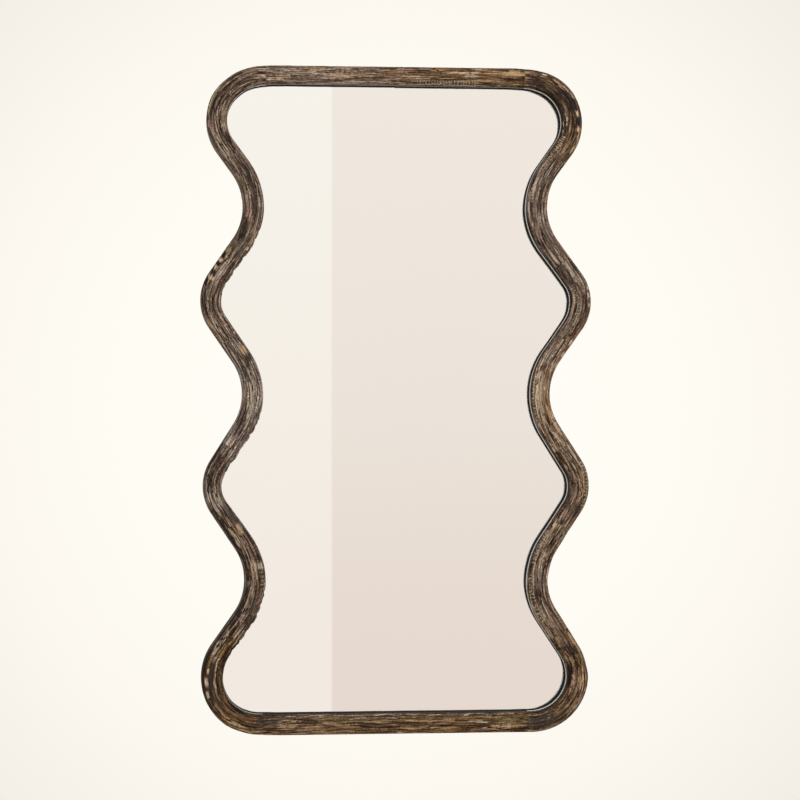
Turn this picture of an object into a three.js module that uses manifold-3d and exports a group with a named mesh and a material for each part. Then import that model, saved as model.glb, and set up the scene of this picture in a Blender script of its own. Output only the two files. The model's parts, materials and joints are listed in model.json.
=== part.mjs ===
// Wall mirror with a wavy wooden frame.
//
// Millimetres, +Z up. The mirror faces -Y and hangs with its back to a wall at y = 0. The origin is the point
// of the wall midway between the two hangers' pivots, which the mirror hangs from.
//
// The frame is sixteen lengths of one moulding, butted end to end with a loose tenon in each joint. The
// moulding follows a line down each side that bends out and in seven times. Across the moulding, u runs from
// the outer edge to the mirror side and v from the front of the dome to the back. The pieces are made round
// the middle of the mirror, with the backing board's rear face at y = 0, and are moved to the wall at the end.

import * as THREE from "three";
import { mergeVertices } from "three/addons/utils/BufferGeometryUtils.js";
import Module from "manifold-3d";

const wasm = await Module();
wasm.setup();

// ---------------------------------------------------------------- driving dimensions

// outline of the frame
const rail_width = 37;
const corner_top_radius = 80;
const corner_bottom_radius = 84;
const hollow_radius = 120;
const crest_radius = 69;

// how far each bend's corner stands out from the middle, on each side
const corner_top_reach = { left: 400, right: 398 };
const hollow_upper_reach = { left: 230, right: 227 };
const crest_upper_reach = { left: 348, right: 352 };
const hollow_middle_reach = { left: 235, right: 236 };
const crest_lower_reach = { left: 342, right: 346 };
const hollow_lower_reach = { left: 229, right: 233 };
const corner_bottom_reach = { left: 410, right: 402 };

// how far each bend lies below the one before it, from the top rail's middle line to the bottom rail's
const upper_hollow_below_top = 232.5;
const upper_crest_below_hollow = 170;
const middle_hollow_below_crest = 165;
const lower_crest_below_hollow = 170;
const lower_hollow_below_crest = 169;
const bottom_below_lower_hollow = 256.5;

// section of the moulding
const outer_dome_drop = 14;
const inner_dome_drop = 12;
const dome_power = 2.4;
const sight_wall = 16;

// mirror and backing board
const glass_thickness = 4;
const glass_lap = 7;
const backing_thickness = 4;
const backing_lap = 9;
const seat_gap = 0.3;
const edge_gap = 1;
const backing_inset = 0.4;

// joints of the frame
const glue_line = 0.2;
const rail_joint_setback = 8;
const tenon_length = 36;
const tenon_width = 16;
const tenon_thickness = 8;
const tenon_inset = 15.5;
const tenon_cover = 15;
const tenon_clearance = 0.3;

// screws
const screw_shank_radius = 1.5;
const screw_length = 16;
const screw_tip = 3;
const screw_head_radius = 3.4;
const screw_head_height = 2;
const screw_rim_height = 0.8;
const screw_crown_radius = 2.4;
const screw_crown_drop = 0.2;
const screw_hole_clearance = 0.3;
const pilot_clearance = 0.15;
const pilot_extra_depth = 1;
const contact_gap = 0.05;

// hangers
const strap_width = 12;
const strap_length = 45;
const strap_thickness = 1.2;
const strap_inset = 9.5;
const strap_end_radius = 4;
const strap_first_hole = 20.5;
const strap_second_hole = 37;
const ring_wire_radius = 1.2;
const ring_inner_width = 20;
const ring_leg = 4.2;
const ring_corner_radius = 2.4;
const barrel_clearance = 0.25;
const barrel_wall = 1.2;
const bumper_radius = 6;
const bumper_tip_radius = 4.5;
const bumper_height = 6;
const bumper_inset = 9.5;

// fineness of the facets
const bend_step = 9 * Math.PI / 180;
const dome_steps = 8;
const tenon_end_steps = 4;
const round_sides = 10;
const ring_steps = 14;
const ring_sides = 8;
const ring_corner_steps = 3;

// ---------------------------------------------------------------- sizes that follow

const half_width = rail_width / 2;
const upper_span = upper_hollow_below_top + upper_crest_below_hollow + middle_hollow_below_crest;
const lower_span = lower_crest_below_hollow + lower_hollow_below_crest + bottom_below_lower_hollow;
const rail_line = (upper_span + lower_span) / 2;
const glass_front = inner_dome_drop + sight_wall;
const ledge_front = glass_front + seat_gap + glass_thickness;
const backing_rear = ledge_front + seat_gap + backing_thickness;
const rail_depth = backing_rear + backing_inset;
const glass_rebate = half_width - glass_lap;
const backing_rebate = glass_rebate - backing_lap;
const frame_back = rail_depth - backing_rear;
const ring_half_width = ring_inner_width / 2 + ring_wire_radius;
const bore_radius = ring_wire_radius + barrel_clearance;
const barrel_radius = bore_radius + barrel_wall;

// ---------------------------------------------------------------- colours and finishes

const finishes = {
  brushed_wood: { color: 0x695544, roughness: 0.72, metalness: 0 },
  rail_wood: { color: 0x6f563b, roughness: 0.72, metalness: 0 },
  tenon_beech: { color: 0xc9a77c, roughness: 0.8, metalness: 0 },
  mirror: { color: 0xe9e6e2, roughness: 0.03, metalness: 1 },
  hardboard: { color: 0x6b4a30, roughness: 0.85, metalness: 0 },
  zinc_steel: { color: 0xb9bbbd, roughness: 0.35, metalness: 1 },
  rubber: { color: 0x2a2a2b, roughness: 0.9, metalness: 0 },
};

// ---------------------------------------------------------------- the line that the moulding follows

const sides = { left: -1, right: 1 };

const bends = [
  { name: "corner_top", reach: corner_top_reach, below: 0, radius: corner_top_radius },
  { name: "hollow_upper", reach: hollow_upper_reach, below: upper_hollow_below_top, radius: hollow_radius },
  { name: "crest_upper", reach: crest_upper_reach, below: upper_crest_below_hollow, radius: crest_radius },
  { name: "hollow_middle", reach: hollow_middle_reach, below: middle_hollow_below_crest, radius: hollow_radius },
  { name: "crest_lower", reach: crest_lower_reach, below: lower_crest_below_hollow, radius: crest_radius },
  { name: "hollow_lower", reach: hollow_lower_reach, below: lower_hollow_below_crest, radius: hollow_radius },
  { name: "corner_bottom", reach: corner_bottom_reach, below: bottom_below_lower_hollow, radius: corner_bottom_radius },
];

// a place on the line: its point, the way the line runs on, and the way to the mirror
function station(point, along, side) {
  const toMirror = new THREE.Vector2(along.y, -along.x).multiplyScalar(sides[side]);
  return { point, along, toMirror };
}

// a station moved along the line, where the line is straight
function shifted(place, distance) {
  return { ...place, point: place.point.clone().addScaledVector(place.along, distance) };
}

// the stations of one bend: an arc that rounds off the corner between its neighbours
function roundedBend(before, corner, after, radius, side) {
  const into = corner.clone().sub(before).normalize();
  const outOf = after.clone().sub(corner).normalize();
  const turn = Math.atan2(into.cross(outOf), into.dot(outOf));
  const start = corner.clone().addScaledVector(into, -radius * Math.tan(Math.abs(turn) / 2));
  const centre = new THREE.Vector2(-into.y, into.x).multiplyScalar(Math.sign(turn) * radius).add(start);
  const count = 2 * Math.ceil(Math.abs(turn) / bend_step / 2);
  const stations = [];
  for (let k = 0; k <= count; k++) {
    const angle = turn * k / count;
    const point = start.clone().rotateAround(centre, angle);
    const along = into.clone().rotateAround(new THREE.Vector2(), angle);
    stations.push(station(point, along, side));
  }
  return stations;
}

// every bend of one side, from the top rail down to the bottom rail
function sideBends(side) {
  let height = rail_line;
  const corners = bends.map((bend) => {
    height -= bend.below;
    return new THREE.Vector2(sides[side] * bend.reach[side], height);
  });
  const line = [new THREE.Vector2(0, rail_line), ...corners, new THREE.Vector2(0, -rail_line)];
  return bends.map((bend, k) => roundedBend(line[k], line[k + 1], line[k + 2], bend.radius, side));
}

// the joints of one side: on the rails just before the corners, and halfway down each slope
function sideJoints(arcs) {
  const joints = [shifted(arcs[0][0], -rail_joint_setback)];
  for (let k = 0; k + 1 < arcs.length; k++) {
    const from = arcs[k].at(-1);
    const slope = arcs[k + 1][0].point.distanceTo(from.point);
    joints.push(shifted(from, slope / 2));
  }
  joints.push(shifted(arcs.at(-1).at(-1), rail_joint_setback));
  return joints;
}

const arcsOf = { left: sideBends("left"), right: sideBends("right") };
const jointsOf = { left: sideJoints(arcsOf.left), right: sideJoints(arcsOf.right) };

// the middle of a bend
function apex(arc) {
  return arc[(arc.length - 1) / 2];
}

// the point at u across the moulding from a station, seen from the front
function across(place, u) {
  return place.point.clone().addScaledVector(place.toMirror, u);
}

// ---------------------------------------------------------------- building blocks

function volumeOf(geometry) {
  const place = geometry.getAttribute("position");
  const index = geometry.getIndex();
  const [a, b, c] = [new THREE.Vector3(), new THREE.Vector3(), new THREE.Vector3()];
  let six = 0;
  for (let k = 0; k < index.count; k += 3) {
    a.fromBufferAttribute(place, index.getX(k));
    b.fromBufferAttribute(place, index.getX(k + 1));
    c.fromBufferAttribute(place, index.getX(k + 2));
    six += a.dot(b.cross(c));
  }
  return six / 6;
}

// turns every face of a closed surface outwards
function facingOut(geometry) {
  if (volumeOf(geometry) < 0) {
    const corners = geometry.getIndex().array;
    for (let k = 0; k < corners.length; k += 3) {
      [corners[k], corners[k + 1]] = [corners[k + 1], corners[k]];
    }
  }
  return geometry;
}

function meshGeometry(points, corners) {
  const geometry = new THREE.BufferGeometry();
  geometry.setAttribute("position", new THREE.Float32BufferAttribute(points, 3));
  geometry.setIndex(corners);
  return facingOut(geometry);
}

// carries an outline of [u, v] points through the stations; a closed sweep has no ends
function sweep(stations, outline, closed = false) {
  const points = [];
  for (const place of stations) {
    for (const [u, v] of outline) {
      const at = across(place, u);
      points.push(at.x, v - backing_rear, at.y);
    }
  }
  const n = outline.length;
  const corners = [];
  const spans = closed ? stations.length : stations.length - 1;
  for (let s = 0; s < spans; s++) {
    const here = s * n;
    const next = ((s + 1) % stations.length) * n;
    for (let k = 0; k < n; k++) {
      const m = (k + 1) % n;
      corners.push(here + k, here + m, next + m, here + k, next + m, next + k);
    }
  }
  if (!closed) {
    const contour = outline.map(([u, v]) => new THREE.Vector2(u, v));
    const last = (stations.length - 1) * n;
    for (const [a, b, c] of capFaces(contour)) {
      corners.push(a, c, b, last + a, last + b, last + c);
    }
  }
  return meshGeometry(points, corners);
}

// the cap's triangles, turned so that they agree with the sweep's side faces
function capFaces(contour) {
  const faces = THREE.ShapeUtils.triangulateShape(contour, []);
  return THREE.ShapeUtils.isClockWise(contour) ? faces.map(([a, b, c]) => [a, c, b]) : faces;
}

function welded(geometry) {
  geometry.deleteAttribute("normal");
  geometry.deleteAttribute("uv");
  return mergeVertices(geometry);
}

function toSolid(geometry) {
  const vertProperties = new Float32Array(geometry.getAttribute("position").array);
  const triVerts = new Uint32Array(geometry.getIndex().array);
  return new wasm.Manifold(new wasm.Mesh({ numProp: 3, vertProperties, triVerts }));
}

function fromSolid(solid) {
  const mesh = solid.getMesh();
  return meshGeometry(Array.from(mesh.vertProperties), Array.from(mesh.triVerts));
}

function cutAway(geometry, cutters) {
  let solid = toSolid(geometry);
  for (const cutter of cutters) {
    solid = solid.subtract(toSolid(cutter));
  }
  return fromSolid(solid);
}

// a flat board with a curved outline, from its rear face forwards
function board(outline, rear, thickness) {
  const shape = new THREE.Shape(outline);
  const geometry = new THREE.ExtrudeGeometry(shape, { depth: thickness, bevelEnabled: false });
  geometry.rotateX(Math.PI / 2);
  geometry.translate(0, rear, 0);
  return facingOut(welded(geometry));
}

// a round hole from front to rear, at a point seen from the front
function hole(at, radius, rear, depth) {
  const geometry = new THREE.CylinderGeometry(radius, radius, depth, round_sides);
  geometry.translate(at.x, rear - depth / 2, at.y);
  return welded(geometry);
}

function turned(profile) {
  const points = profile.map(([r, y]) => new THREE.Vector2(r, y));
  return facingOut(welded(new THREE.LatheGeometry(points, round_sides)));
}

const model = new THREE.Group();

function add(name, geometry, finish, position = [0, 0, 0]) {
  const mesh = new THREE.Mesh(geometry, new THREE.MeshStandardMaterial(finish));
  mesh.name = name;
  mesh.position.set(...position);
  model.add(mesh);
}

// ---------------------------------------------------------------- sections

// the moulding: a domed front, a straight sight wall, and two steps for the glass and the backing board
function mouldingOutline() {
  const outline = [];
  for (let k = 0; k <= dome_steps; k++) {
    const angle = Math.PI * (1 - k / dome_steps);
    const reach = Math.abs(Math.cos(angle)) ** (2 / dome_power) * Math.sign(Math.cos(angle));
    const rise = Math.sin(angle) ** (2 / dome_power);
    const drop = angle > Math.PI / 2 ? outer_dome_drop : inner_dome_drop;
    outline.push([half_width * reach, drop * (1 - rise)]);
  }
  outline.push([half_width, glass_front]);
  outline.push([glass_rebate, glass_front]);
  outline.push([glass_rebate, ledge_front]);
  outline.push([backing_rebate, ledge_front]);
  outline.push([backing_rebate, rail_depth]);
  outline.push([-half_width, rail_depth]);
  return outline;
}

// a flat bar with round edges, which lies clear of the dome and of the screws
function tenonOutline(clearance) {
  const round = tenon_thickness / 2 + clearance;
  const reach = tenon_width / 2 - tenon_thickness / 2;
  const middle = [tenon_inset - half_width, tenon_cover + tenon_thickness / 2];
  const outline = [];
  for (const end of [1, -1]) {
    for (let k = 0; k <= tenon_end_steps; k++) {
      const angle = end * Math.PI / 2 - Math.PI * k / tenon_end_steps;
      outline.push([middle[0] + end * reach + round * Math.cos(angle), middle[1] + round * Math.sin(angle)]);
    }
  }
  return outline;
}

function circleOutline(radius, v) {
  const outline = [];
  for (let k = 0; k < ring_sides; k++) {
    const angle = 2 * Math.PI * (k + 0.5) / ring_sides;
    outline.push([radius * Math.cos(angle), v + radius * Math.sin(angle)]);
  }
  return outline;
}

// ---------------------------------------------------------------- fastener places

// one board screw on the ledge at each bend between the corners, and one in the middle of each rail
const ledge_middle = (glass_rebate + backing_rebate) / 2;
const boardScrews = [
  { name: "backing_screw_top", segment: "top_rail", at: new THREE.Vector2(0, rail_line - ledge_middle) },
  { name: "backing_screw_bottom", segment: "bottom_rail", at: new THREE.Vector2(0, ledge_middle - rail_line) },
];

for (const side of ["left", "right"]) {
  for (let k = 1; k + 1 < bends.length; k++) {
    const at = across(apex(arcsOf[side][k]), ledge_middle);
    boardScrews.push({ name: `backing_screw_${side}_${k}`, segment: `${side}_${bends[k].name}`, at });
  }
}

// the hangers' straps stand upright on the outer half of the upper hollows, level with each other
const strapMiddles = ["left", "right"].map((side) => across(apex(arcsOf[side][1]), strap_inset - half_width));
const hanger_reach = (strapMiddles[1].x - strapMiddles[0].x) / 2;
const hanging_height = (strapMiddles[0].y + strapMiddles[1].y + strap_length) / 2;

const hangers = ["left", "right"].map((side) => {
  const pivot = new THREE.Vector2(sides[side] * hanger_reach, hanging_height);
  const upper = new THREE.Vector2(pivot.x, pivot.y - strap_first_hole);
  const lower = new THREE.Vector2(pivot.x, pivot.y - strap_second_hole);
  return { side, segment: `${side}_hollow_upper`, pivot, screws: { upper, lower } };
});

function pilotHoles(segment) {
  const radius = screw_shank_radius + pilot_clearance;
  const holes = [];
  for (const screw of boardScrews.filter((one) => one.segment === segment)) {
    holes.push(hole(screw.at, radius, frame_back, screw_length + frame_back + pilot_extra_depth));
  }
  for (const hanger of hangers.filter((one) => one.segment === segment)) {
    for (const at of Object.values(hanger.screws)) {
      holes.push(hole(at, radius, frame_back + pilot_extra_depth, screw_length + pilot_extra_depth));
    }
  }
  return holes;
}

// ---------------------------------------------------------------- wooden frame

const moulding = mouldingOutline();

function tenonSweep(joint, length, clearance) {
  return sweep([shifted(joint, -length / 2), shifted(joint, length / 2)], tenonOutline(clearance));
}

function addFramePiece(name, stations, joints, finish) {
  const pocket_length = tenon_length + 2 * tenon_clearance;
  const pockets = joints.map((joint) => tenonSweep(joint, pocket_length, tenon_clearance));
  add(name, cutAway(sweep(stations, moulding), [...pockets, ...pilotHoles(name)]), finish);
}

// a straight rail between the two joints, which both lines run away from at the top and towards at the bottom
function addRail(name, joints, shrink) {
  addFramePiece(name, joints.map((joint) => shifted(joint, shrink)), joints, finishes.rail_wood);
}

addRail("top_rail", [jointsOf.left.at(0), jointsOf.right.at(0)], -glue_line / 2);
addRail("bottom_rail", [jointsOf.left.at(-1), jointsOf.right.at(-1)], glue_line / 2);

for (const side of ["left", "right"]) {
  bends.forEach((bend, k) => {
    const [above, below] = [jointsOf[side][k], jointsOf[side][k + 1]];
    const stations = [shifted(above, glue_line / 2), ...arcsOf[side][k], shifted(below, -glue_line / 2)];
    addFramePiece(`${side}_${bend.name}`, stations, [above, below], finishes.brushed_wood);
  });
  jointsOf[side].forEach((joint, k) => {
    add(`${side}_tenon_${k + 1}`, tenonSweep(joint, tenon_length, 0), finishes.tenon_beech);
  });
}

// ---------------------------------------------------------------- mirror and backing board

// the outline of a board that fills the frame as far as u across the moulding, clockwise from the top
function openingOutline(u) {
  const right = arcsOf.right.flat().map((place) => across(place, u));
  const left = arcsOf.left.flat().map((place) => across(place, u));
  return [...right, ...left.reverse()];
}

const glass_rear = glass_thickness + seat_gap + glass_front - backing_rear;
add("mirror_glass", board(openingOutline(glass_rebate + edge_gap), glass_rear, glass_thickness), finishes.mirror);

const screwHoles = boardScrews.map((screw) => {
  return hole(screw.at, screw_shank_radius + screw_hole_clearance, backing_thickness, 3 * backing_thickness);
});
const backing = board(openingOutline(backing_rebate + edge_gap), 0, backing_thickness);
add("backing_board", cutAway(backing, screwHoles), finishes.hardboard);

// ---------------------------------------------------------------- screws

function screwGeometry() {
  return turned([
    [0, -screw_length],
    [screw_shank_radius, screw_tip - screw_length],
    [screw_shank_radius, 0],
    [screw_head_radius, 0],
    [screw_head_radius, screw_rim_height],
    [screw_crown_radius, screw_head_height - screw_crown_drop],
    [0, screw_head_height],
  ]);
}

for (const { name, at } of boardScrews) {
  add(name, screwGeometry(), finishes.zinc_steel, [at.x, contact_gap, at.y]);
}

// ---------------------------------------------------------------- hangers

const strap_front = frame_back + contact_gap;
const strap_rear = strap_front + strap_thickness;
const pivot_depth = strap_front + barrel_radius;

// side view of the strap: a plate that rolls up into a barrel round the ring's straight side
function strapProfile() {
  const profile = new THREE.Shape();
  const meet = Math.sqrt(barrel_radius ** 2 - (barrel_radius - strap_thickness) ** 2);
  const start = Math.atan2(-meet, strap_thickness - barrel_radius);
  profile.moveTo(0, -strap_length);
  profile.lineTo(strap_thickness, -strap_length);
  profile.lineTo(strap_thickness, -meet);
  profile.absarc(barrel_radius, 0, barrel_radius, start, Math.PI, false);
  profile.closePath();
  const bore = new THREE.Path();
  bore.absarc(barrel_radius, 0, bore_radius, 0, 2 * Math.PI, true);
  profile.holes.push(bore);
  return profile;
}

// front view of the strap, with its lower corners rounded
function strapFace() {
  const [x, low, r] = [strap_width / 2, -strap_length, strap_end_radius];
  const face = new THREE.Shape();
  face.moveTo(-x, 2 * barrel_radius);
  face.lineTo(-x, low + r);
  face.absarc(-x + r, low + r, r, Math.PI, 1.5 * Math.PI, false);
  face.absarc(x - r, low + r, r, 1.5 * Math.PI, 2 * Math.PI, false);
  face.lineTo(x, 2 * barrel_radius);
  face.closePath();
  return face;
}

function strapGeometry() {
  const flat = { bevelEnabled: false, curveSegments: round_sides };
  const rolled = new THREE.ExtrudeGeometry(strapProfile(), { ...flat, depth: strap_width });
  rolled.translate(0, 0, -strap_width / 2);
  // the profile's x becomes depth, its y height, and the extrusion runs across
  rolled.applyMatrix4(new THREE.Matrix4().makeBasis(
    new THREE.Vector3(0, 1, 0), new THREE.Vector3(0, 0, 1), new THREE.Vector3(1, 0, 0)));
  // the face's outline trims the plate all the way through, and passes the barrel by a radius
  const face = new THREE.ExtrudeGeometry(strapFace(), { ...flat, depth: 4 * barrel_radius });
  face.rotateX(Math.PI / 2);
  face.translate(0, 3 * barrel_radius, 0);
  let solid = toSolid(facingOut(welded(rolled))).intersect(toSolid(facingOut(welded(face))));
  for (const down of [strap_first_hole, strap_second_hole]) {
    const at = new THREE.Vector2(0, -down);
    const drill = hole(at, screw_shank_radius + screw_hole_clearance, 2 * strap_thickness, 3 * strap_thickness);
    solid = solid.subtract(toSolid(drill));
  }
  return fromSolid(solid);
}

// the D-ring as it hangs: its straight side through the barrel, its bow below
function ringGeometry() {
  const w = ring_half_width;
  const r = ring_corner_radius;
  const runs = [
    { centre: [w - r, -r], radius: r, from: Math.PI / 2, to: 0, steps: ring_corner_steps },
    { centre: [0, -ring_leg], radius: w, from: 0, to: -Math.PI, steps: ring_steps },
    { centre: [r - w, -r], radius: r, from: Math.PI, to: Math.PI / 2, steps: ring_corner_steps },
  ];
  const stations = [];
  for (const run of runs) {
    for (let k = 0; k <= run.steps; k++) {
      const angle = run.from + (run.to - run.from) * k / run.steps;
      const out = new THREE.Vector2(Math.cos(angle), Math.sin(angle));
      const point = out.clone().multiplyScalar(run.radius).add(new THREE.Vector2(...run.centre));
      stations.push({ point, toMirror: out });
    }
  }
  return sweep(stations, circleOutline(ring_wire_radius, backing_rear), true);
}

for (const { side, pivot, screws } of hangers) {
  add(`${side}_hanger_strap`, strapGeometry(), finishes.zinc_steel, [pivot.x, strap_front, pivot.y]);
  add(`${side}_hanger_ring`, ringGeometry(), finishes.zinc_steel, [pivot.x, pivot_depth, pivot.y]);
  for (const [place, at] of Object.entries(screws)) {
    const seat = strap_rear + contact_gap;
    add(`${side}_hanger_screw_${place}`, screwGeometry(), finishes.zinc_steel, [at.x, seat, at.y]);
  }
}

// ---------------------------------------------------------------- wall bumpers

for (const side of ["left", "right"]) {
  for (const corner of [0, bends.length - 1]) {
    const at = across(apex(arcsOf[side][corner]), bumper_inset - half_width);
    const bumper = turned([[0, 0], [bumper_radius, 0], [bumper_tip_radius, bumper_height], [0, bumper_height]]);
    const name = bends[corner].name.replace("corner", `${side}_bumper`);
    add(name, bumper, finishes.rubber, [at.x, frame_back + contact_gap, at.y]);
  }
}

// ---------------------------------------------------------------- place on the wall

const wall = frame_back + contact_gap + bumper_height;
model.position.set(0, -wall, -hanging_height);

const part = new THREE.Group();
part.add(model);

export default part;
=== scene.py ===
"""Wall mirror with a wavy wooden frame. Metres, +Z up; the mirror faces -Y, the wall is at y = 0.

Each wooden piece of the frame is a fine sweep of the moulding, with brushed grain, nicks and chips in its
surface. Along the moulding, places are given by the distance from the middle of the top rail, down either
side. Across it, u runs from the outer edge to the mirror side and v from the front of the dome to the back.
"""

import json
import random
from math import atan2, copysign, cos, hypot, pi, radians, sin, tan

import bmesh
import bpy
import numpy as np
from mathutils.geometry import tessellate_polygon
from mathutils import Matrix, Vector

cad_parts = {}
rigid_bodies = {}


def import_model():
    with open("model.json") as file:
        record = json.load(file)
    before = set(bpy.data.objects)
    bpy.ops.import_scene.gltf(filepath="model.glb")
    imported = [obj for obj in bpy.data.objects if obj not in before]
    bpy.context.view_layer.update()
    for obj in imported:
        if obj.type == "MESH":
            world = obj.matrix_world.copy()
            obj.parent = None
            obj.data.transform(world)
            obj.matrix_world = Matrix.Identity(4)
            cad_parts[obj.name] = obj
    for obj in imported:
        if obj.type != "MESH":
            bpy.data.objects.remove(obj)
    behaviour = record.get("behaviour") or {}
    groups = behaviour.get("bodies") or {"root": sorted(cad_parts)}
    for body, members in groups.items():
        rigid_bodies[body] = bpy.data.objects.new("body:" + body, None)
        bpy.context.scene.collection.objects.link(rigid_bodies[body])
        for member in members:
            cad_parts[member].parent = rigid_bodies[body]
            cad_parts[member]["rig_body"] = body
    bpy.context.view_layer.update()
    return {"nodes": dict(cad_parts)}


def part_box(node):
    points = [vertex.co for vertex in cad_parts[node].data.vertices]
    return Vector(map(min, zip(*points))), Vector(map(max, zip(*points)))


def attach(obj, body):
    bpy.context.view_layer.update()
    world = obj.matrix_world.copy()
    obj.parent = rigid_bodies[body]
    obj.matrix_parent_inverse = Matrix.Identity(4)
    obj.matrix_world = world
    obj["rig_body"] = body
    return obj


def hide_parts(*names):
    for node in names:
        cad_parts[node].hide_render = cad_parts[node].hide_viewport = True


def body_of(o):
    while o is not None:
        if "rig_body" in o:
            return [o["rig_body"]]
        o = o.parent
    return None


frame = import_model()

MM = 0.001

# ------------------------ sizes

# outline of the frame
rail_width = 0.037
corner_top_radius = 0.080
corner_bottom_radius = 0.084
hollow_radius = 0.120
crest_radius = 0.069

# the bends of each side: name, reach from the middle on the left and on the right, drop from the one above,
# radius
BENDS = [
    ("corner_top", 0.400, 0.398, 0.0, corner_top_radius),
    ("hollow_upper", 0.230, 0.227, 0.2325, hollow_radius),
    ("crest_upper", 0.348, 0.352, 0.170, crest_radius),
    ("hollow_middle", 0.235, 0.236, 0.165, hollow_radius),
    ("crest_lower", 0.342, 0.346, 0.170, crest_radius),
    ("hollow_lower", 0.229, 0.233, 0.169, hollow_radius),
    ("corner_bottom", 0.410, 0.402, 0.2565, corner_bottom_radius),
]

# section of the moulding
outer_dome_drop = 0.014
inner_dome_drop = 0.012
dome_power = 2.4
sight_wall = 0.016
glass_thickness = 0.004
glass_lap = 0.007
backing_thickness = 0.004
backing_lap = 0.009
seat_gap = 0.0003
backing_inset = 0.0004

# joints
glue_line = 0.0002
rail_joint_setback = 0.008
tenon_length = 0.036
tenon_width = 0.016
tenon_thickness = 0.008
tenon_inset = 0.0155
tenon_cover = 0.015
tenon_clearance = 0.0003

# screws
screw_shank_radius = 0.0015
screw_core_radius = 0.0011
screw_length = 0.016
screw_tip = 0.003
screw_pitch = 0.0012
screw_head_radius = 0.0034
screw_head_height = 0.002
screw_rim_height = 0.0008
recess_arm = 0.0017
recess_half_width = 0.00026
recess_depth = 0.0009

# hangers
strap_length = 0.045
strap_thickness = 0.0012
strap_end_radius = 0.004
strap_edge = 0.00012
strap_hole_radius = 0.0018
strap_holes = (0.0205, 0.037)
barrel_radius = 0.00265
barrel_sweep = radians(298)
ring_wire_radius = 0.00119
ring_half_width = 0.0112
ring_leg = 0.0042
ring_corner_radius = 0.0024

# bumpers
bumper_radius = 0.006
bumper_tip_radius = 0.0045
bumper_height = 0.006

half_width = rail_width / 2
glass_front = inner_dome_drop + sight_wall
ledge_front = glass_front + seat_gap + glass_thickness
backing_rear = ledge_front + seat_gap + backing_thickness
rail_depth = backing_rear + backing_inset
glass_rebate = half_width - glass_lap
backing_rebate = glass_rebate - backing_lap

# where the frame stands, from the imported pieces
middle_height = (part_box("top_rail")[1].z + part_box("bottom_rail")[0].z) / 2
rail_line = (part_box("top_rail")[1].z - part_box("bottom_rail")[0].z) / 2 - half_width
frame_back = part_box("top_rail")[1].y

# on the right side the inner shoulder is squarer, so that the inner wall starts higher up
square_power = 7.0
square_rise = 0.0059

# how far the drawn wood stays inside the plain moulding's outer face
outer_inset = 0.00001

# fineness of the wood
along_step = 0.0016
dome_steps = 60

# ------------------------ camera

camera_sideways = -0.360
camera_distance = 4.087
camera_yaw = 0.09
focal_pixels = 2266.2
picture_pixels = 800

camera_data = bpy.data.cameras.new("camera")
camera_data.sensor_width = 36
camera_data.lens = focal_pixels / picture_pixels * camera_data.sensor_width
camera = bpy.data.objects.new("camera", camera_data)
camera.location = (camera_sideways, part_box("backing_board")[1].y - camera_distance, middle_height)
camera.rotation_euler = (pi / 2, 0, -camera_yaw)
bpy.context.scene.collection.objects.link(camera)
bpy.context.scene.camera = camera
bpy.context.scene.view_settings.view_transform = "Standard"


# ------------------------ colours and shader nodes

def linear(red, green, blue):
    """A colour given in the screen's 0 to 255, as the shader's linear one with its alpha."""
    def one(value):
        share = value / 255
        return share / 12.92 if share <= 0.04045 else ((share + 0.055) / 1.055) ** 2.4
    return one(red), one(green), one(blue), 1


class Shader:
    """A node tree under construction, of a material or of the world."""

    def __init__(self, holder):
        self.holder = holder
        holder.use_nodes = True
        self.tree = holder.node_tree
        self.tree.nodes.clear()

    def node(self, kind, inputs=None, **settings):
        """A new node. Its inputs are numbers, colours from 0 to 255 or the outputs of other nodes."""
        made = self.tree.nodes.new("ShaderNode" + kind)
        for name, value in settings.items():
            setattr(made, name, value)
        for name, value in (inputs or {}).items():
            socket = made.inputs[name]
            if isinstance(value, bpy.types.NodeSocket):
                self.tree.links.new(value, socket)
            elif socket.type == "RGBA" and len(value) == 3:
                socket.default_value = linear(*value)
            else:
                socket.default_value = value
        return made

    def math(self, operation, first, second=0.5):
        return self.node("Math", {0: first, 1: second}, operation=operation).outputs[0]

    def blend(self, share, first, second, kind="MIX"):
        mixed = self.node("Mix", {0: share, 6: first, 7: second}, data_type="RGBA", blend_type=kind)
        return mixed.outputs[2]

    def spread(self, value, low, high, to_low=0.0, to_high=1.0):
        """value from low to high, eased to run from to_low to to_high."""
        ranged = self.node("MapRange", {0: value, 1: low, 2: high, 3: to_low, 4: to_high})
        ranged.interpolation_type = "SMOOTHSTEP"
        return ranged.outputs[0]

    def stretched(self, vector, factors):
        return self.node("VectorMath", {0: vector, 1: factors}, operation="MULTIPLY").outputs[0]

    def noise(self, vector, scale=1.0, detail=3.0, roughness=0.6, distortion=0.0):
        inputs = {"Vector": vector, "Scale": scale, "Detail": detail, "Roughness": roughness,
                  "Distortion": distortion}
        return self.node("TexNoise", inputs).outputs[0]

    def ramp(self, value, stops):
        made = self.node("ValToRGB", {0: value})
        elements = made.color_ramp.elements
        while len(elements) < len(stops):
            elements.new(0.5)
        for element, (place, colour) in zip(elements, stops):
            element.position = place
            element.color = linear(*colour)
        return made.outputs[0]

    def attribute(self, name, output="Fac"):
        return self.node("Attribute", attribute_name=name).outputs[output]

    def place(self):
        """Where a point lies on the object."""
        return self.node("TexCoord").outputs["Object"]

    def surface(self, colour, roughness, bumps=None, strength=1.0, depth=0.0, **others):
        """Ends the tree in a surface, whose bumps have a strength and a depth. Returns the material."""
        inputs = {"Base Color": colour, "Roughness": roughness, **others}
        if bumps is not None:
            bump = self.node("Bump", {"Strength": strength, "Distance": depth, "Height": bumps})
            inputs["Normal"] = bump.outputs[0]
        self.node("OutputMaterial", {0: self.node("BsdfPrincipled", inputs).outputs[0]})
        return self.holder


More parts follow.
